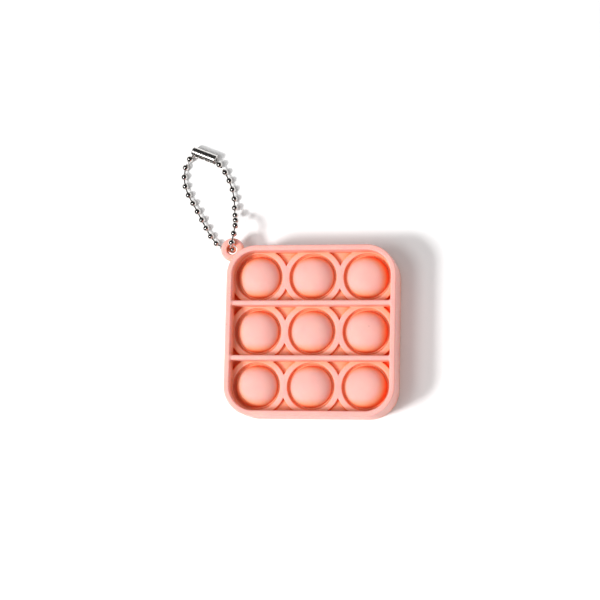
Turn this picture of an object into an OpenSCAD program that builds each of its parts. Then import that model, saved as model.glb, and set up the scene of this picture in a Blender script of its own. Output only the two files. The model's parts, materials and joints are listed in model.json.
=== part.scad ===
// Push-bubble fidget keychain: a square silicone board with a grid of popping bubbles,
// and a ball chain that is clipped into a loop through the board's hanging lug.
// The board lies on its back with the bubbles up, and +Z points out of its face.

/* [Board] */
// Width of the board along X
board_w = 40; // [38:1:52]
// Height of the board along Y
board_h = 40; // [38:1:52]
// Thickness of the board, from its back to the top of its rim
board_t = 10; // [9.6:0.2:12]
// Outer corner radius of the rim
corner_r = 7; // [5:0.5:8]
// Thickness of the rim's wall
rim_wall = 1.3; // [1:0.1:1.6]
// Thickness of the bars between the rows
divider_t = 1.15; // [0.9:0.05:1.4]
// How far the bars stop short of the rim's faces
divider_drop = 0.3; // [0.1:0.1:1]
// Thickness of the web that the bubbles are moulded in
web_t = 1; // [0.8:0.1:1.4]
// Height of the raised ring round each bubble, above the web
ring_h = 1; // [0.6:0.1:1.4]
// Width of the raised ring
ring_w = 1.4; // [1:0.1:1.8]

/* [Bubbles] */
// Radius of a bubble at its base
bubble_r = 4.85; // [4:0.05:5]
// Height of a bubble's crown above the middle of the web
bubble_h = 3.7; // [2.8:0.1:3.9]
// Wall thickness of a bubble
bubble_wall = 0.7; // [0.5:0.05:0.9]
// Width of the groove between a bubble and its ring
groove_w = 0.7; // [0.5:0.05:0.8]

/* [Hanging lug] */
// Outer radius of the lug
lug_r = 2.75; // [2.4:0.05:3.3]
// Radius of the hole in the lug
lug_hole_r = 1.25; // [1.15:0.05:1.5]
// Thickness of the lug
lug_t = 2; // [1.6:0.1:2.2]
// How far the middle of the hole stands off the rim's outer corner
lug_reach = 2.55; // [2.5:0.05:3.5]

/* [Ball chain] */
// Diameter of a ball
ball_d = 1.6; // [1.4:0.05:1.75]
// Distance between neighbouring balls
ball_pitch = 2.35; // [2.35:0.05:2.9]
// Wall thickness of a hollow ball
ball_wall = 0.2; // [0.15:0.01:0.22]
// Diameter of the wire that links the balls
wire_d = 0.4; // [0.3:0.01:0.42]
// Inner diameter of the clasp's sleeve
clasp_bore = 2; // [1.9:0.05:2.4]
// Wall thickness of the clasp's sleeve
clasp_wall = 0.22; // [0.2:0.01:0.3]
// How far the clasp's slot is turned up from level
clasp_turn = 8; // [0:1:10]

/* [Hidden] */
$fn = 64;
cells = 3;
fit_gap = 0.1;     // between a bubble and the web round it
pass_gap = 0.12;   // between the chain and the faces of the lug
over = 1;          // how far a cut runs past the face that it cuts

// Board: its inner outline is split into rows by the bars
mid_z = board_t / 2;
inner_w = board_w - 2 * rim_wall;
inner_h = board_h - 2 * rim_wall;
inner_r = corner_r - rim_wall;
col_w = (inner_w - (cells - 1) * divider_t) / cells;
row_h = (inner_h - (cells - 1) * divider_t) / cells;
col_pitch = col_w + divider_t;
row_pitch = row_h + divider_t;
web_low = mid_z - web_t / 2;
ring_in = bubble_r + groove_w;
ring_out = ring_in + ring_w;
web_hole_r = bubble_r + fit_gap;

// Bubble: a cap of a hollow ball on a short straight foot, in the web's hole
dome_r = (bubble_r * bubble_r + bubble_h * bubble_h) / (2 * bubble_h);
dome_z = mid_z + bubble_h - dome_r;
dome_in_r = dome_r - bubble_wall;
foot_in_r = sqrt(dome_in_r * dome_in_r - (mid_z - dome_z) * (mid_z - dome_z));

// Lug, on the diagonal of the upper left corner
diagonal = 135;
corner = [corner_r - board_w / 2, board_h / 2 - corner_r];
lug = corner + (corner_r + lug_reach) * [cos(diagonal), sin(diagonal)];
neck_w = 1.4 * lug_r;

// Chain: each strand starts at the ball in the lug's hole and runs to the clasp. The upper
// strand leaves over the lug and the lower one under it, and both come down to lie flat.
ball_r = ball_d / 2;
ball_in_r = ball_r - ball_wall;
wire_r = wire_d / 2;
head_r = wire_r + 0.07;      // the wire's swaged end, which can't leave its ball
head_at = 0.3;               // from the ball's middle to the head's
ball_hole_r = wire_r + 0.06;
clasp_r = clasp_bore / 2 + clasp_wall;
clasp_slot = 0.85 * ball_d;  // lets a wire out sideways and keeps a ball in
clasp_end = ball_r + 0.1;    // from an end ball's middle to the inside of the end wall
wire_reach = lug_hole_r - pass_gap - 1.3 * wire_r;   // so a first wire clears the hole's edge
first_rise = max(lug_t / 2 + pass_gap + ball_r, ball_pitch * sin(atan2(lug_t / 2, wire_reach)));
over_z = mid_z + first_rise;
under_z = mid_z - first_rise;

// Direction of each wire, seen from above, from the lug's ball to the clasp
UPPER_WAY = [86, 80, 88, 102, 108, 102, 96, 103, 111, 118, 128, 138];
LOWER_WAY = [165, 158, 148, 130, 121, 119, 119, 120, 120, 112, 98, 84, 62, 42];
// How high each ball stands, as a share of the way from lying flat to passing the lug
UPPER_RISE = [1, 0.97, 0.8, 0.52, 0.24, 0.06, 0, 0, 0, 0];
LOWER_RISE = [1, 0.42, 0.08, 0, 0, 0, 0, 0, 0, 0, 0, 0];
upper_zs = concat([mid_z], [for (s = UPPER_RISE) ball_r + (over_z - ball_r) * s], [clasp_r, clasp_r]);
lower_zs = concat([mid_z], [for (s = LOWER_RISE) ball_r + (under_z - ball_r) * s], [clasp_r, clasp_r]);

function step(way, rise) =
    let (flat = sqrt(ball_pitch * ball_pitch - rise * rise)) [flat * cos(way), flat * sin(way), rise];
function walk(ways, zs, i) =
    i == 0 ? [lug.x, lug.y, zs[0]] : walk(ways, zs, i - 1) + step(ways[i - 1], zs[i] - zs[i - 1]);
UPPER = [for (i = [0:len(UPPER_WAY)]) walk(UPPER_WAY, upper_zs, i)];
LOWER = [for (i = [0:len(LOWER_WAY)]) walk(LOWER_WAY, lower_zs, i)];
upper_end = UPPER[len(UPPER) - 1];
lower_end = LOWER[len(LOWER) - 1];

// Clasp: its axis runs through the two end balls
clasp_mid = (upper_end + lower_end) / 2;
clasp_way = atan2(lower_end.y - upper_end.y, lower_end.x - upper_end.x);
clasp_half = norm(lower_end - upper_end) / 2 + clasp_end + clasp_wall;

// The chain folds at these balls, and its bodies are the sections between them
FOLDS = [0, 7, 9, 11];
LAST = [7, 9, 11, 14];

// Origin: middle of the whole object's outline, on the surface that it lies on
chain_xs = [for (p = concat(UPPER, LOWER)) p.x];
chain_ys = [for (p = concat(UPPER, LOWER)) p.y];
clasp_reach_y = clasp_half * abs(sin(clasp_way)) + clasp_r * abs(cos(clasp_way));
low_x = min(min(chain_xs) - ball_r, -board_w / 2);
high_x = board_w / 2;
low_y = -board_h / 2;
high_y = max(clasp_mid.y + clasp_reach_y, max(chain_ys) + ball_r);
origin = [(low_x + high_x) / 2, (low_y + high_y) / 2, 0];

ROWS = ["top", "middle", "bottom"];
COLS = ["left", "centre", "right"];
function row_y(r) = (1 - r) * row_pitch;
function col_x(c) = (c - 1) * col_pitch;
function two(i) = str(i < 10 ? "0" : "", i);
UPPER_NAMES = [for (i = [1:len(UPPER_WAY)]) str("upper_ball_", two(i))];
LOWER_NAMES = [for (i = [1:len(LOWER_WAY)]) str("lower_ball_", two(i))];

silicone = [1.0, 0.68, 0.6];
steel = [0.76, 0.76, 0.78];

module rounded_square(w, h, r) {
    square([w - 2 * r, h], center = true);
    square([w, h - 2 * r], center = true);
    for (x = [-1, 1], y = [-1, 1])
        translate([x * (w / 2 - r), y * (h / 2 - r)]) circle(r);
}

module board_outline() rounded_square(board_w, board_h, corner_r);
module board_inside() rounded_square(inner_w, inner_h, inner_r);

module rim() {
    color(silicone)
    linear_extrude(board_t)
    difference() {
        board_outline();
        board_inside();
    }
}

module hanging_lug() {
    color(silicone)
    translate([0, 0, mid_z - lug_t / 2])
    linear_extrude(lug_t)
    difference() {
        union() {
            translate(lug) circle(lug_r);
            translate(lug) rotate(diagonal + 180) translate([0, -neck_w / 2]) square([lug_reach + over, neck_w]);
        }
        board_outline();
        translate(lug) circle(lug_hole_r);
    }
}

// side is 1 for the bar under the top row and -1 for the one above the bottom row
module divider(side) {
    color(silicone)
    translate([-inner_w / 2, side * row_pitch / 2 - divider_t / 2, divider_drop])
    cube([inner_w, divider_t, board_t - 2 * divider_drop]);
}

module row_outline(r) {
    intersection() {
        board_inside();
        translate([0, row_y(r)]) square([inner_w, row_h], center = true);
    }
}

// One row of the web: a strip with a hole for each bubble and a raised ring round it
module web_row(r) {
    color(silicone)
    difference() {
        union() {
            translate([0, 0, web_low]) linear_extrude(web_t) row_outline(r);
            translate([0, 0, web_low]) linear_extrude(web_t + ring_h)
            intersection() {
                row_outline(r);
                for (c = [0:cells - 1]) translate([col_x(c), row_y(r)]) circle(ring_out);
            }
        }
        for (c = [0:cells - 1]) translate([col_x(c), row_y(r), 0]) {
            translate([0, 0, web_low + web_t]) cylinder(r = ring_in, h = ring_h + over);
            translate([0, 0, web_low - over]) cylinder(r = web_hole_r, h = web_t + 2 * over);
        }
    }
}

module bubble(r, c) {
    color(silicone)
    translate([col_x(c), row_y(r), 0])
    difference() {
        union() {
            translate([0, 0, web_low]) cylinder(r = bubble_r, h = web_t / 2);
            intersection() {
                translate([0, 0, dome_z]) sphere(dome_r);
                translate([0, 0, mid_z]) cylinder(r = bubble_r, h = bubble_h + over);
            }
        }
        translate([0, 0, web_low - over]) cylinder(r = foot_in_r, h = web_t / 2 + over);
        intersection() {
            translate([0, 0, dome_z]) sphere(dome_in_r);
            translate([0, 0, mid_z]) cylinder(r = bubble_r, h = bubble_h + over);
        }
    }
}

// Turns +Z to the direction d
module aim(d) rotate([0, acos(d.z / norm(d)), atan2(d.y, d.x)]) children();

// A hollow ball at p, with a hole towards each of its two neighbours
module ball(p, before, after) {
    color(steel)
    translate(p)
    difference() {
        sphere(ball_r);
        sphere(ball_in_r);
        for (d = [before - p, after - p]) aim(d) cylinder(r = ball_hole_r, h = ball_d);
    }
}

// The ball i of a strand. The end ball's second hole is opposite its first
module strand_ball(strand, i) {
    after = i + 1 < len(strand) ? strand[i + 1] : 2 * strand[i] - strand[i - 1];
    ball(strand[i], strand[i - 1], after);
}

// The wire from a to b, with a swaged head inside each ball
module link(a, b) {
    translate(a) aim(b - a) {
        translate([0, 0, head_at]) cylinder(r = wire_r, h = ball_pitch - 2 * head_at);
        for (z = [head_at, ball_pitch - head_at]) translate([0, 0, z]) sphere(head_r);
    }
}

module strand_links(strand, first, last) {
    for (i = [first:min(last, len(strand) - 1) - 1]) link(strand[i], strand[i + 1]);
}

module link_wires(s) {
    color(steel) {
        strand_links(UPPER, FOLDS[s], LAST[s]);
        strand_links(LOWER, FOLDS[s], LAST[s]);
    }
}

// A rolled sleeve with end walls. The slot on its inner side lets the wires out, and the
// round opening in the middle of the slot is where a ball is put in
module clasp() {
    color(steel)
    translate(clasp_mid) rotate([0, 0, clasp_way]) rotate([clasp_turn, 0, 0])
    difference() {
        rotate([0, 90, 0]) cylinder(r = clasp_r, h = 2 * clasp_half, center = true);
        rotate([0, 90, 0]) cylinder(r = clasp_bore / 2, h = 2 * (clasp_half - clasp_wall), center = true);
        rotate([0, 90, 0]) cylinder(r = clasp_slot / 2, h = 2 * (clasp_half + over), center = true);
        translate([-clasp_half - over, 0, -clasp_slot / 2])
            cube([2 * (clasp_half + over), clasp_r + over, clasp_slot]);
        rotate([-90, 0, 0]) cylinder(r = ball_r + 0.1, h = clasp_r + over);
    }
}

translate(-origin) {
    rim();
    hanging_lug();
    divider(1);  // divider_upper
    divider(-1);  // divider_lower
    for (r = [0:cells - 1]) {
        web_row(r);
        for (c = [0:cells - 1])
            bubble(r, c);
    }
    ball(UPPER[0], LOWER[1], UPPER[1]);  // lug_ball
    for (i = [1:len(UPPER_WAY)])
        strand_ball(UPPER, i);
    for (i = [1:len(LOWER_WAY)])
        strand_ball(LOWER, i);
    for (s = [0:len(FOLDS) - 1])
        link_wires(s);
    clasp();
}
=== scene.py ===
"""Looks of the push-bubble fidget keychain: a moulded silicone board with nine popping
bubbles, and a nickel ball chain closed into a loop by its sleeve clasp.

Shapes are worked out in millimetres from the boxes of the CAD nodes. Objects are in metres.
"""

import json
import math

import bpy
import numpy as np
from mathutils import Matrix, Vector

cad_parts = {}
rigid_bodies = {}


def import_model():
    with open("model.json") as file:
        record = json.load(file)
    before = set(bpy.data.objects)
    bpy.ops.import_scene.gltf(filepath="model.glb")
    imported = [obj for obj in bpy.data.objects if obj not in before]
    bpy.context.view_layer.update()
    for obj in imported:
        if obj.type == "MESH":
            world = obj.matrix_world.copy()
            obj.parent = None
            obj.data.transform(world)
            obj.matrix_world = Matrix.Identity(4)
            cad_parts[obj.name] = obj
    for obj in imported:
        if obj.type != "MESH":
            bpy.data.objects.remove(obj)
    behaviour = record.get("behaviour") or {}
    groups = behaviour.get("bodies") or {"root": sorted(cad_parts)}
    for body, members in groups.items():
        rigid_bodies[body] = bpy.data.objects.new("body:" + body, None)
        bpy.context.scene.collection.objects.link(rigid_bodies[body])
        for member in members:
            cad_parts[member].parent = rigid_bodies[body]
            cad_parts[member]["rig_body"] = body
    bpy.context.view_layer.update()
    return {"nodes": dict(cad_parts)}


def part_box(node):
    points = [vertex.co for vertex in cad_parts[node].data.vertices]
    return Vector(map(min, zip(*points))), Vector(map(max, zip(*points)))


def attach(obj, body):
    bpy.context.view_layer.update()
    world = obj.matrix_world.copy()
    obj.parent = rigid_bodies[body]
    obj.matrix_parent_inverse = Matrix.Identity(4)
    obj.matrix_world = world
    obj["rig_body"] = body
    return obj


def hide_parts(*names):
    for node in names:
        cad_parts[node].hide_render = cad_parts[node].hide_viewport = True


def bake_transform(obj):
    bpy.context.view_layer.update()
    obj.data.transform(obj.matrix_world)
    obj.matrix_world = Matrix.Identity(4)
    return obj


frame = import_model()

MM = 0.001
ROWS = ("top", "middle", "bottom")
COLUMNS = ("left", "centre", "right")
BUBBLES = [f"bubble_{row}_{column}" for row in ROWS for column in COLUMNS]
UPPER_BALLS = [f"upper_ball_{i:02d}" for i in range(1, 13)]
LOWER_BALLS = [f"lower_ball_{i:02d}" for i in range(1, 15)]
WIRE_NODES = [f"link_wires_{i}" for i in range(1, 5)]
BOARD_NODES = ("rim", "hanging_lug", "divider_upper", "divider_lower",
               "web_top_row", "web_middle_row", "web_bottom_row")


# ---------------------------------------------------------------- places, in millimetres

def node_box(node):
    """Lowest and highest corner of a CAD node, in millimetres."""
    low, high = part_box(node)
    return np.array(low) / MM, np.array(high) / MM


def node_middle(node):
    low, high = node_box(node)
    return (low + high) / 2


def body_of_node(node):
    return frame["nodes"][node]["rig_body"]


RIM_LOW, RIM_HIGH = node_box("rim")
BOARD_X, BOARD_Y, MID_Z = (RIM_LOW + RIM_HIGH) / 2
HALF_W, HALF_H = (RIM_HIGH - RIM_LOW)[:2] / 2
CORNER_R = 7.0
RIM_WALL = 1.3
RIM_EDGE = 0.36          # rounding of the rim's edges
BAR_EDGE = 0.42
BAR_FILLET = 0.5         # where a bar runs into the rim
WEB_FILLET = 0.4         # where the web meets the rim and the bars
RING_IN = 5.55
RING_OUT = 6.95
RING_EDGE = 0.2
RING_FILLET = 0.12
STEP_IN = 5.32           # the fine step inside the ring
STEP_DOWN = 0.7          # from the ring's top to the step
STEP_EDGE = 0.1
WEB_T = 1.0
WEB_HOLE_R = 4.5
WEB_EDGE = 0.12
LUG_R = 2.75
LUG_HOLE_R = 1.25
LUG_EDGE = 0.6
LUG_HOLE_EDGE = 0.3
LUG_HOLE_FLASH = 0.12    # how far the mould's parting line stands into the hole
LUG_FILLET = 0.9
LUG_NECK_SHARE = 0.7     # half the neck's width, as a share of the lug's radius
LUG_NECK_RUN = 0.6       # how far the neck runs past the lug's edge, into the rim
PARTING_H = 0.06         # the mould's parting line round the outer wall
PARTING_W = 0.2
BOARD_VOXEL = 0.26
BOARD_KEEP = 0.5         # share of the faces left after flat areas are thinned
BOARD_MARGIN = 0.6       # of the carved space, past the board on every side

DOME_WALL = 0.4
DOME_POWER = 2.3         # of the superellipse in its section, where 2 is an ellipse
DOME_FOOT = 0.5          # from the underside of the web to the foot of the dome
DOME_SWELL = 0.1         # by which its foot is wider than the plain bubble
DOME_LIP = 0.15          # the straight part under the foot
DOME_BEVEL_IN = 0.1      # the bevel under that, inwards and down from the foot
DOME_BEVEL_DOWN = 0.3
DOME_TUCK_GAP = 0.03     # from the web's hole to the dome's lowest edge
DOME_TUCK_DOWN = 0.34
DOME_STEPS = 32          # of the section, from crown to foot
DOME_AROUND = 72

BALL_R = 0.8
BALL_WALL = 0.12
BALL_HOLE = 0.33         # of the hole's rim, in radians from the ball's axis
BALL_FLARE = 0.04        # how much wider the hole is on the inside, in radians
BALL_LIP = 0.05          # how far the hole's lip is pressed in
BALL_LIP_TURN = 0.02     # how much narrower the hole is at its lip, in radians
BALL_SHOULDER = 0.07     # from the hole's rim to the round part, in radians
BALL_STEPS = 18
BALL_INNER_STEPS = 8
BALL_AROUND = 28
WIRE_R = 0.2
HEAD_R = 0.27
WIRE_AROUND = 14
WIRE_END = ((0.001, 0.01), (0.12, 0.03), (0.22, 0.11), (HEAD_R, 0.27),
            (0.25, 0.37), (0.22, 0.45), (WIRE_R, 0.54))    # (radius, along) from the tip

CLASP_WALL = 0.22
CLASP_TURN = 8           # of the slot, up from level, in degrees
CLASP_SLOT = 1.36
CLASP_DOOR_R = 0.9
CLASP_END_GAP = 0.1      # from an end ball to the inside of the end wall
CLASP_EDGE = 0.25
CLASP_HOLLOW_EDGE = 0.12
CLASP_CUT_EDGE = 0.06
CLASP_VOXEL = 0.05
CLASP_MARGIN = 0.2       # of the carved space, past the clasp on every side

SLOPE_REACH = 0.02       # to each side of a point, where its slope is measured
LEAST_SLOPE = 0.1
SURFACE_PASSES = 3


# ---------------------------------------------------------------- distance functions

def rounded_box(x, y, half_x, half_y, radius):
    """Signed distance to a rounded rectangle round the origin."""
    across = np.abs(x) - half_x + radius
    along = np.abs(y) - half_y + radius
    outside = np.hypot(np.maximum(across, 0), np.maximum(along, 0))
    return outside + np.minimum(np.maximum(across, along), 0) - radius


def round_meet(a, b, radius):
    """Intersection of two solids, with the edge between them rounded."""
    u = np.maximum(a + radius, 0)
    v = np.maximum(b + radius, 0)
    return np.minimum(-radius, np.maximum(a, b)) + np.hypot(u, v)


def soft_join(a, b, width):
    """Union of two solids, with a fillet between them."""
    share = np.clip(0.5 + 0.5 * (b - a) / width, 0, 1)
    return b * (1 - share) + a * share - width * share * (1 - share)


def slab(z, low, high):
    return np.abs(z - (low + high) / 2) - (high - low) / 2


def rim_distance(x, y, z):
    outer = rounded_box(x, y, HALF_W, HALF_H, CORNER_R)
    outer = outer - PARTING_H * np.exp(-((z - MID_Z) / PARTING_W) ** 2)
    inner = rounded_box(x, y, HALF_W - RIM_WALL, HALF_H - RIM_WALL, CORNER_R - RIM_WALL)
    return round_meet(np.maximum(outer, -inner), slab(z, RIM_LOW[2], RIM_HIGH[2]), RIM_EDGE)


def bar_distance(x, y, z, node):
    low, high = node_box(node)
    middle = (low[1] + high[1]) / 2 - BOARD_Y
    flat = np.maximum(slab(y, middle - (high[1] - low[1]) / 2, middle + (high[1] - low[1]) / 2),
                      np.abs(x) - HALF_W + RIM_WALL / 2)
    return round_meet(flat, slab(z, low[2], high[2]), BAR_EDGE)


def web_distance(x, y, z):
    web_low = node_box("web_top_row")[0][2]
    plate = rounded_box(x, y, HALF_W - RIM_WALL / 2, HALF_H - RIM_WALL / 2, CORNER_R - RIM_WALL / 2)
    return np.maximum(plate, slab(z, web_low, web_low + WEB_T))


def ring_distance(x, y, z, node):
    """The raised ring round one bubble, with the fine step on its inner side."""
    web_low, ring_top = node_box("web_top_row")[0][2], node_box("web_top_row")[1][2]
    middle = node_middle(node)
    away = np.hypot(x - middle[0] + BOARD_X, y - middle[1] + BOARD_Y)
    land = round_meet(np.maximum(away - RING_OUT, RING_IN - away),
                      slab(z, web_low, ring_top), RING_EDGE)
    step = round_meet(np.maximum(away - RING_OUT, STEP_IN - away),
                      slab(z, web_low, ring_top - STEP_DOWN), STEP_EDGE)
    return soft_join(land, step, RING_FILLET)


def bubble_hole(x, y, node):
    middle = node_middle(node)
    return np.hypot(x - middle[0] + BOARD_X, y - middle[1] + BOARD_Y) - WEB_HOLE_R


def lug_middle():
    low, high = node_box("hanging_lug")
    return low[0] + LUG_R - BOARD_X, high[1] - LUG_R - BOARD_Y


def lug_distance(x, y, z):
    low, high = node_box("hanging_lug")
    lug_x, lug_y = lug_middle()
    away = np.hypot(x - lug_x, y - lug_y)
    along = (lug_x - x + y - lug_y) / math.sqrt(2)
    across = (x - lug_x + y - lug_y) / math.sqrt(2)
    neck_end = np.maximum(along, -along - LUG_R - LUG_NECK_RUN)
    neck = np.maximum(np.abs(across) - LUG_NECK_SHARE * LUG_R, neck_end)
    return round_meet(np.minimum(away - LUG_R, neck), slab(z, low[2], high[2]), LUG_EDGE)


def board_distance(x, y, z):
    """The whole moulding but for its bubbles, round the board's middle."""
    board = rim_distance(x, y, z)
    for node in ("divider_upper", "divider_lower"):
        board = soft_join(board, bar_distance(x, y, z, node), BAR_FILLET)
    web = web_distance(x, y, z)
    for node in BUBBLES:
        web = round_meet(web, -bubble_hole(x, y, node), WEB_EDGE)
    board = soft_join(board, web, WEB_FILLET)
    for node in BUBBLES:
        board = soft_join(board, ring_distance(x, y, z, node), RING_FILLET)
    board = soft_join(board, lug_distance(x, y, z), LUG_FILLET)
    lug_x, lug_y = lug_middle()
    lug_low, lug_high = node_box("hanging_lug")
    flash = LUG_HOLE_FLASH * np.exp(-((z - (lug_low[2] + lug_high[2]) / 2) / PARTING_W) ** 2)
    hole = LUG_HOLE_R - flash - np.hypot(x - lug_x, y - lug_y)
    return round_meet(board, hole, LUG_HOLE_EDGE)


# ---------------------------------------------------------------- meshes

def cell_points(value):
    """For each grid cell that the surface crosses, the mean of the crossings on its edges."""
    cells = [n - 1 for n in value.shape]
    total = np.zeros(cells + [3])
    count = np.zeros(cells)
    for axis in range(3):
        others = [a for a in range(3) if a != axis]
        for shift in ((0, 0), (0, 1), (1, 0), (1, 1)):
            start = [0, 0, 0]
            start[others[0]], start[others[1]] = shift
            near = value[tuple(slice(s, s + n) for s, n in zip(start, cells))]
            start_far = list(start)
            start_far[axis] = 1
            far = value[tuple(slice(s, s + n) for s, n in zip(start_far, cells))]
            crossed = (near < 0) != (far < 0)
            share = np.zeros(cells)
            share[crossed] = near[crossed] / (near[crossed] - far[crossed])
            count += crossed
            total[..., axis] += share
            for other, moved in zip(others, shift):
                total[..., other] += crossed * moved
    found = count > 0
    index = np.full(cells, -1)
    index[found] = np.arange(found.sum())
    places = np.argwhere(found) + total[found] / count[found][:, None]
    return places, index


def cell_faces(value, index):
    """A face across each grid edge that the surface crosses, wound to face outwards."""
    faces = []
    for axis in range(3):
        u, v = (axis + 1) % 3, (axis + 2) % 3
        here = [slice(None)] * 3
        here[axis] = slice(0, -1)
        there = list(here)
        there[axis] = slice(1, None)
        starts = value[tuple(here)] < 0
        ends = value[tuple(there)] < 0
        for inward in (False, True):
            crossed = np.argwhere((starts != ends) & (starts != inward))
            crossed = crossed[(crossed[:, u] > 0) & (crossed[:, v] > 0)]
            crossed = crossed[(crossed[:, u] < index.shape[u]) & (crossed[:, v] < index.shape[v])]
            corners = []
            for du, dv in ((1, 1), (0, 1), (0, 0), (1, 0)):
                place = crossed.copy()
                place[:, u] -= du
                place[:, v] -= dv
                corners.append(index[tuple(place.T)])
            faces.append(np.stack(corners[::-1] if inward else corners, 1))
    return np.concatenate(faces)


def gradient(distance, points):
    slopes = []
    for axis in range(3):
        step = np.zeros(3)
        step[axis] = SLOPE_REACH
        slopes.append(distance(*(points + step).T) - distance(*(points - step).T))
    return np.stack(slopes, 1) / (2 * SLOPE_REACH)


def onto_surface(distance, points, voxel):
    """Moves the points onto the zero surface of the distance function."""
    for _pass in range(SURFACE_PASSES):
        slope = gradient(distance, points)
        off = distance(*points.T) / np.maximum((slope ** 2).sum(1), LEAST_SLOPE)
        points = points - np.clip(off, -voxel / 2, voxel / 2)[:, None] * slope
    return points


def new_object(name, points, faces):
    mesh = bpy.data.meshes.new(name)
    mesh.from_pydata([tuple(p) for p in points], [], [tuple(f) for f in faces])
    mesh.shade_smooth()
    piece = bpy.data.objects.new(name, mesh)
    bpy.context.scene.collection.objects.link(piece)
    return piece


def thin_out(piece, keep):
    """Applies a Decimate modifier, which takes faces from flat areas first."""
    decimate = piece.modifiers.new("thin_out", "DECIMATE")
    decimate.ratio = keep
    whole = piece.evaluated_get(bpy.context.evaluated_depsgraph_get())
    thinned = bpy.data.meshes.new_from_object(whole)
    piece.modifiers.clear()
    piece.data = thinned


def carve(name, distance, low, high, voxel, keep):
    """A mesh of the distance function's solid, in millimetres, with exact normals."""
    counts = [int(math.ceil((h - a) / voxel)) + 1 for a, h in zip(low, high)]
    grid = np.meshgrid(*(a + voxel * np.arange(n) for a, n in zip(low, counts)), indexing="ij")
    value = distance(*grid)
    places, index = cell_points(value)
    points = onto_surface(distance, np.array(low) + voxel * places, voxel)
    piece = new_object(name, points, cell_faces(value, index))
    if keep < 1:
        thin_out(piece, keep)
    points = np.array([v.co for v in piece.data.vertices])
    normals = gradient(distance, points)
    normals /= np.maximum(np.linalg.norm(normals, axis=1), 1e-6)[:, None]
    piece.data.normals_split_custom_set_from_vertices([tuple(n) for n in normals])
    return piece


def to_metres(piece, place=Matrix.Identity(4)):
    piece.data.transform(Matrix.Scale(MM, 4) @ place)
    piece.data.update()


def rings_mesh(rings, closed):
    """Points and faces of a tube through rings. With closed, the last ring joins the first."""
    count = len(rings[0])
    points = [p for ring in rings for p in ring]
    faces = []
    pairs = len(rings) if closed else len(rings) - 1
    for i in range(pairs):
        a, b = i * count, (i + 1) % len(rings) * count
        for k in range(count):
            n = (k + 1) % count
            faces.append((a + k, a + n, b + n, b + k))
    return points, faces


def make_board():
    lug_x, lug_y = lug_middle()
    low = (lug_x - LUG_R - BOARD_MARGIN, -HALF_H - BOARD_MARGIN, RIM_LOW[2] - BOARD_MARGIN)
    high = (HALF_W + BOARD_MARGIN, lug_y + LUG_R + BOARD_MARGIN, RIM_HIGH[2] + BOARD_MARGIN)
    board = carve("silicone_board", board_distance, low, high, BOARD_VOXEL, BOARD_KEEP)
    to_metres(board, Matrix.Translation((BOARD_X, BOARD_Y, 0)))
    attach(board, "board")
    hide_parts(*BOARD_NODES)
    return board


# ---------------------------------------------------------------- bubbles

def dome_section(radius, rise, base_z):
    """Points (radius, height) of a superellipse, from beside the crown down to the foot."""
    power = 2 / DOME_POWER
    turns = [math.pi / 2 * i / DOME_STEPS for i in range(1, DOME_STEPS)]
    curve = [(radius * math.sin(t) ** power, base_z + rise * math.cos(t) ** power) for t in turns]
    return curve + [(radius, base_z)]


def dome_outline(low, high):
    """(radius, height) of the shell's outer crown, of its section from there, and of its inner crown."""
    radius = (high[0] - low[0]) / 2 + DOME_SWELL
    base_z = low[2] + DOME_FOOT
    rise = high[2] - base_z
    outer = dome_section(radius, rise, base_z)
    inner = dome_section(radius - DOME_WALL, rise - DOME_WALL, base_z)
    foot = [(radius, base_z - DOME_LIP),
            (radius - DOME_BEVEL_IN, base_z - DOME_BEVEL_DOWN),
            (WEB_HOLE_R - DOME_TUCK_GAP, base_z - DOME_TUCK_DOWN)]
    return (0, high[2]), outer + foot + inner[::-1], (0, high[2] - DOME_WALL)


def make_dome(node):
    low, high = node_box(node)
    middle = (low + high) / 2
    top, outline, under = dome_outline(low, high)
    count = DOME_AROUND
    turn = [2 * math.pi * k / count for k in range(count)]
    points = [(middle[0] + r * math.cos(a), middle[1] + r * math.sin(a), z)
              for r, z in outline for a in turn]
    faces = []
    for i in range(len(outline) - 1):
        for k in range(count):
            n = (k + 1) % count
            a, b = i * count, (i + 1) * count
            faces.append((a + k, b + k, b + n, a + n))
    first, last = len(points), len(points) + 1
    points += [(middle[0], middle[1], top[1]), (middle[0], middle[1], under[1])]
    end = (len(outline) - 1) * count
    for k in range(count):
        n = (k + 1) % count
        faces.append((first, k, n))
        faces.append((last, end + n, end + k))
    dome = new_object(node.replace("bubble", "dome"), points, faces)
    to_metres(dome)
    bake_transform(dome)
    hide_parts(node)
    return dome


# ---------------------------------------------------------------- ball chain

def circle(middle, axis, radius, count, start):
    """Points of a circle round an axis. start fixes where the first one lies."""
    side = (start - axis * start.dot(axis)).normalized()
    other = axis.cross(side)
    return [middle + side * radius * math.cos(2 * math.pi * k / count)
            + other * radius * math.sin(2 * math.pi * k / count) for k in range(count)]


def ball_outline():
    """(radius, turn) round the wall's section: one lip, the outside, the other lip, the inside."""
    inner_r, lip_r = BALL_R - BALL_WALL, BALL_R - BALL_LIP
    round_part = math.pi - 2 * BALL_HOLE - 2 * BALL_SHOULDER
    inside = math.pi - 2 * BALL_HOLE - 2 * BALL_FLARE
    outline = [(inner_r, BALL_HOLE + BALL_FLARE), (lip_r, BALL_HOLE - BALL_LIP_TURN)]
    outline += [(BALL_R, BALL_HOLE + BALL_SHOULDER + round_part * i / BALL_STEPS)
                for i in range(BALL_STEPS + 1)]
    outline += [(lip_r, math.pi - BALL_HOLE + BALL_LIP_TURN)]
    outline += [(inner_r, math.pi - BALL_HOLE - BALL_FLARE - inside * i / BALL_INNER_STEPS)
                for i in range(BALL_INNER_STEPS)]
    return outline


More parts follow.
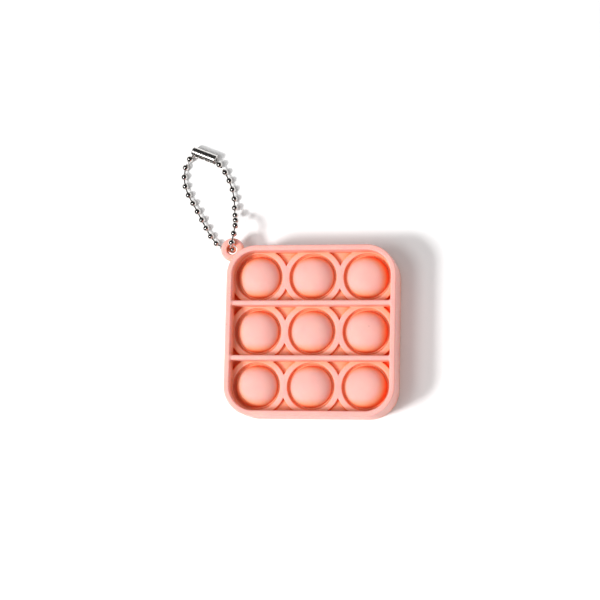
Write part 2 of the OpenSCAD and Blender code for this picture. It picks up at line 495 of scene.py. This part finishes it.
def make_ball(node, before, after):
    """A hollow ball pressed from sheet, with a lipped hole towards each neighbour."""
    middle = Vector(node_middle(node))
    first = (Vector(before) - middle).normalized()
    last = (middle - Vector(after)).normalized()
    bend = first.rotation_difference(last)
    start = first.orthogonal()
    rings = []
    for radius, turn in ball_outline():
        share = (turn - BALL_HOLE) / (math.pi - 2 * BALL_HOLE)
        part = Matrix.Identity(3).to_quaternion().slerp(bend, min(max(share, 0), 1))
        axis = part @ first
        rings.append(circle(middle + axis * radius * math.cos(turn), axis,
                            radius * math.sin(turn), BALL_AROUND, part @ start))
    points, faces = rings_mesh(rings, closed=True)
    ball = new_object(node + "_shell", points, faces)
    to_metres(ball)
    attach(ball, body_of_node(node))
    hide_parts(node)
    return ball


def wire_rings(start, end):
    """Rings of one dumb-bell wire, with a swaged head inside each ball."""
    axis = (end - start).normalized()
    length = (end - start).length
    outline = list(WIRE_END) + [(r, length - z) for r, z in reversed(WIRE_END)]
    return [circle(start + axis * z, axis, r, WIRE_AROUND, axis.orthogonal()) for r, z in outline]


def make_wires(node, links):
    points, faces = [], []
    for start, end in links:
        ring_points, ring_faces = rings_mesh(wire_rings(start, end), closed=False)
        faces += [tuple(i + len(points) for i in f) for f in ring_faces]
        points += ring_points
    wires = new_object(node.replace("link_wires", "wires_section"), points, faces)
    to_metres(wires)
    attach(wires, body_of_node(node))
    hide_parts(node)
    return wires


def clasp_place():
    """The clasp's middle, its axis, the side on which its slot lies and its half length."""
    first = Vector(node_middle(UPPER_BALLS[-1]))
    last = Vector(node_middle(LOWER_BALLS[-1]))
    axis = (last - first).normalized()
    up = Vector((0, 0, 1))
    turn = math.radians(CLASP_TURN)
    side = up.cross(axis) * math.cos(turn) + up * math.sin(turn)
    half = (last - first).length / 2 + BALL_R + CLASP_END_GAP + CLASP_WALL
    return (first + last) / 2, axis, side, half


def clasp_distance(half, radius, x, y, z):
    """A rolled sleeve along X with end walls, slotted on its +Y side."""
    away = np.hypot(y, z)
    outside = round_meet(away - radius, np.abs(x) - half, CLASP_EDGE)
    hollow = round_meet(away - radius + CLASP_WALL, np.abs(x) - half + CLASP_WALL, CLASP_HOLLOW_EDGE)
    slot = np.where(y > 0, np.abs(z), away) - CLASP_SLOT / 2
    door = np.maximum(np.hypot(x, z) - CLASP_DOOR_R, -y)
    return round_meet(np.maximum(outside, -hollow), -np.minimum(slot, door), CLASP_CUT_EDGE)


def make_clasp():
    middle, axis, side, half = clasp_place()
    low, high = node_box("clasp")
    radius = (high[2] - low[2]) / 2

    def distance(x, y, z):
        return clasp_distance(half, radius, x, y, z)

    corner = (half + CLASP_MARGIN, radius + CLASP_MARGIN, radius + CLASP_MARGIN)
    clasp = carve("clasp_sleeve", distance, [-c for c in corner], corner, CLASP_VOXEL, 1)
    place = Matrix((axis, side, axis.cross(side))).transposed().to_4x4()
    to_metres(clasp, Matrix.Translation(middle) @ place)
    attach(clasp, "clasp")
    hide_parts("clasp")
    return clasp


def make_chain():
    lug_ball = Vector(node_middle("lug_ball"))
    strands = [[lug_ball] + [Vector(node_middle(n)) for n in names]
               for names in (UPPER_BALLS, LOWER_BALLS)]
    pieces = [make_ball("lug_ball", strands[1][1], strands[0][1])]
    links = {}
    for names, places in zip((UPPER_BALLS, LOWER_BALLS), strands):
        for i, node in enumerate(names, start=1):
            after = places[i + 1] if i + 1 < len(places) else 2 * places[i] - places[i - 1]
            pieces.append(make_ball(node, places[i - 1], after))
            links.setdefault(body_of_node(node), []).append((places[i - 1], places[i]))
    for node in WIRE_NODES:
        pieces.append(make_wires(node, links[body_of_node(node)]))
    return pieces


# ---------------------------------------------------------------- materials

SILICONE_OPEN = ((0.91, 0.43, 0.385, 1), (0.94, 0.465, 0.41, 1))
# The next pair of colours is painted shade: the deep orange painted into crevices and grooves.
SILICONE_PAINTED_SHADE = ((0.92, 0.12, 0.01, 1), (0.92, 0.37, 0.2, 1))
SILICONE_DUST = (0.55, 0.25, 0.2, 1)
PAINTED_SHADE_REACH = 0.0032   # how far the painted shade looks for a wall that faces the surface, in metres
SKIN_DEPTH = 0.00004
MARK_DEPTH = 0.00002


def node_tree(name):
    material = bpy.data.materials.new(name)
    material.use_nodes = True
    tree = material.node_tree
    return material, tree, tree.nodes["Principled BSDF"]


def add(tree, kind, **inputs):
    node = tree.nodes.new(kind)
    for name, value in inputs.items():
        node.inputs[name.replace("_", " ")].default_value = value
    return node


def noise(tree, scale, detail, roughness=0.5):
    """Noise in the object's own coordinates, with scale in waves per metre."""
    place = tree.nodes.new("ShaderNodeTexCoord")
    made = add(tree, "ShaderNodeTexNoise", Scale=scale, Detail=detail, Roughness=roughness)
    tree.links.new(place.outputs["Object"], made.inputs["Vector"])
    return made


def ramp(tree, source, stops):
    made = tree.nodes.new("ShaderNodeValToRGB")
    elements = made.color_ramp.elements
    elements[0].position, elements[0].color = stops[0]
    elements[1].position, elements[1].color = stops[-1]
    for place, colour in stops[1:-1]:
        elements.new(place).color = colour
    tree.links.new(source, made.inputs["Fac"])
    return made.outputs["Color"]


def grey(value):
    return (value, value, value, 1)


def mix_colour(tree, share, first, second):
    """first where share is 0, second where it is 1. Each is a socket or a colour."""
    made = tree.nodes.new("ShaderNodeMix")
    made.data_type = "RGBA"
    tree.links.new(share, made.inputs["Factor"])
    for name, colour in (("A", first), ("B", second)):
        if isinstance(colour, tuple):
            made.inputs[name].default_value = colour
        else:
            tree.links.new(colour, made.inputs[name])
    return made.outputs["Result"]


def dust_share(tree):
    """1 at a few fine specks of dust that the silicone has picked up."""
    specks = add(tree, "ShaderNodeTexVoronoi", Scale=330)
    place = tree.nodes.new("ShaderNodeTexCoord")
    tree.links.new(place.outputs["Object"], specks.inputs["Vector"])
    spot = ramp(tree, specks.outputs["Distance"], [(0.028, grey(1)), (0.05, grey(0))])
    parts = add(tree, "ShaderNodeSeparateColor")
    tree.links.new(specks.outputs["Color"], parts.inputs["Color"])
    chosen = ramp(tree, parts.outputs["Red"], [(0.82, grey(0)), (0.84, grey(1))])
    both = add(tree, "ShaderNodeMath")
    both.operation = "MULTIPLY"
    tree.links.new(spot, both.inputs[0])
    tree.links.new(chosen, both.inputs[1])
    return both.outputs["Value"]


def silicone_material():
    """Peach silicone, with painted shade: its colour is painted a deeper, darker orange where its
    surfaces face each other.
    """
    material, tree, shader = node_tree("soft_silicone")
    open_colour = ramp(tree, noise(tree, 260, 3).outputs["Fac"],
                       [(0.3, SILICONE_OPEN[0]), (0.7, SILICONE_OPEN[1])])
    # Painted shade: ambient occlusion turns the colour a deeper, darker orange in crevices and grooves.
    painted_shade_occlusion = add(tree, "ShaderNodeAmbientOcclusion", Distance=PAINTED_SHADE_REACH)
    painted_shade_occlusion.samples = 12
    painted_shade_colour = ramp(tree, painted_shade_occlusion.outputs["AO"],
                       [(0.12, SILICONE_PAINTED_SHADE[0]), (0.42, SILICONE_PAINTED_SHADE[1])])
    unshaded_share = ramp(tree, painted_shade_occlusion.outputs["AO"], [(0.4, grey(0)), (0.92, grey(1))])
    colour = mix_colour(tree, unshaded_share, painted_shade_colour, open_colour)
    dusty = mix_colour(tree, dust_share(tree), colour, SILICONE_DUST)
    tree.links.new(dusty, shader.inputs["Base Color"])
    matt = ramp(tree, noise(tree, 900, 4).outputs["Fac"], [(0.3, grey(0.5)), (0.7, grey(0.6))])
    tree.links.new(matt, shader.inputs["Roughness"])
    bump = add(tree, "ShaderNodeBump", Strength=0.12, Distance=SKIN_DEPTH)
    tree.links.new(noise(tree, 4200, 3).outputs["Fac"], bump.inputs["Height"])
    tree.links.new(bump.outputs["Normal"], shader.inputs["Normal"])
    shader.inputs["Subsurface Weight"].default_value = 0.25
    shader.inputs["Subsurface Radius"].default_value = (1.0, 0.3, 0.16)
    shader.inputs["Subsurface Scale"].default_value = 0.0014
    shader.inputs["Specular IOR Level"].default_value = 0.3
    shader.inputs["Sheen Weight"].default_value = 0.05
    return material


def nickel_material(name, rough, marks, tint):
    """Bright plating with a slightly uneven polish. marks is the strength of its fine marks."""
    material, tree, shader = node_tree(name)
    shader.inputs["Metallic"].default_value = 1.0
    colour = ramp(tree, noise(tree, 900, 3).outputs["Fac"],
                  [(0.35, (tint[0] * 0.9, tint[1] * 0.88, tint[2] * 0.86, 1)), (0.65, (*tint, 1))])
    tree.links.new(colour, shader.inputs["Base Color"])
    polish = ramp(tree, noise(tree, 2600, 4).outputs["Fac"],
                  [(0.35, grey(rough * 0.7)), (0.7, grey(rough * 1.5))])
    tree.links.new(polish, shader.inputs["Roughness"])
    bump = add(tree, "ShaderNodeBump", Strength=marks, Distance=MARK_DEPTH)
    tree.links.new(noise(tree, 3800, 2).outputs["Fac"], bump.inputs["Height"])
    tree.links.new(bump.outputs["Normal"], shader.inputs["Normal"])
    return material


def floor_material():
    material, tree, shader = node_tree("pale_floor")
    tone = ramp(tree, noise(tree, 40, 3).outputs["Fac"], [(0.3, grey(0.93)), (0.7, grey(0.95))])
    tree.links.new(tone, shader.inputs["Base Color"])
    shader.inputs["Roughness"].default_value = 0.9
    shader.inputs["Specular IOR Level"].default_value = 0.1
    return material


# ---------------------------------------------------------------- stage

BOARD_MIDDLE = Vector((BOARD_X, BOARD_Y, 0)) * MM
CAMERA_FROM_BOARD = Vector((0.0657, -0.04705, 0.38463))
CAMERA_TURN = (0.1448, 0.1765, 0.0223)
CAMERA_LENS = 99.5
ROOM_LIGHT = 0.33
ROOM_MIRRORED = 0.03     # the room's strength where bright metal mirrors it
FLOOR_HALF = 1.5
FLOOR_DROP = 0.00003     # keeps the floor just under the object's lowest point


def make_camera():
    data = bpy.data.cameras.new("camera")
    data.sensor_width = 36
    data.lens = CAMERA_LENS
    data.clip_start = 0.01
    camera = bpy.data.objects.new("camera", data)
    bpy.context.scene.collection.objects.link(camera)
    camera.location = BOARD_MIDDLE + CAMERA_FROM_BOARD
    camera.rotation_euler = CAMERA_TURN
    bpy.context.scene.camera = camera


def add_light(name, azimuth, elevation, distance, size, power):
    """A square soft box that faces the board. Azimuth 0 is +X and 90 is +Y."""
    data = bpy.data.lights.new(name, "AREA")
    data.size = size
    data.energy = power
    light = bpy.data.objects.new(name, data)
    bpy.context.scene.collection.objects.link(light)
    a, e = math.radians(azimuth), math.radians(elevation)
    away = Vector((math.cos(a) * math.cos(e), math.sin(a) * math.cos(e), math.sin(e)))
    light.location = BOARD_MIDDLE + away * distance
    light.rotation_euler = away.to_track_quat("Z", "Y").to_euler()
    return light


def make_world():
    """A pale room that lights the object, and is dim where bright metal mirrors it."""
    world = bpy.data.worlds.new("studio")
    bpy.context.scene.world = world
    world.use_nodes = True
    tree = world.node_tree
    ray = tree.nodes.new("ShaderNodeLightPath")
    strength = ramp(tree, ray.outputs["Is Glossy Ray"],
                    [(0, grey(ROOM_LIGHT)), (1, grey(ROOM_MIRRORED))])
    tree.links.new(strength, tree.nodes["Background"].inputs["Strength"])
    tree.nodes["Background"].inputs["Color"].default_value = (1, 1, 1, 1)


def make_stage():
    signs = ((-1, -1), (1, -1), (1, 1), (-1, 1))
    corners = [(x * FLOOR_HALF, y * FLOOR_HALF, 0) for x, y in signs]
    floor = new_object("floor", corners, [(0, 1, 2, 3)])
    floor.location.z = -FLOOR_DROP
    floor.data.materials.append(floor_material())
    make_world()
    key = add_light("key", azimuth=205, elevation=46, distance=0.6, size=0.12, power=3.2)
    key.visible_glossy = False
    add_light("overhead", azimuth=205, elevation=68, distance=0.7, size=0.2, power=1.3)
    fill = add_light("fill", azimuth=5, elevation=26, distance=0.7, size=0.4, power=0.9)
    fill.visible_glossy = False
    bpy.context.scene.view_settings.view_transform = "Standard"


# ---------------------------------------------------------------- the object

make_camera()
make_stage()
silicone = silicone_material()
chain_nickel = nickel_material("chain_nickel", rough=0.09, marks=0.15, tint=(0.8, 0.78, 0.76))
clasp_nickel = nickel_material("clasp_nickel", rough=0.24, marks=0.05, tint=(0.88, 0.86, 0.84))
make_board().data.materials.append(silicone)
for bubble in BUBBLES:
    make_dome(bubble).data.materials.append(silicone)
for link_piece in make_chain():
    link_piece.data.materials.append(chain_nickel)
make_clasp().data.materials.append(clasp_nickel)
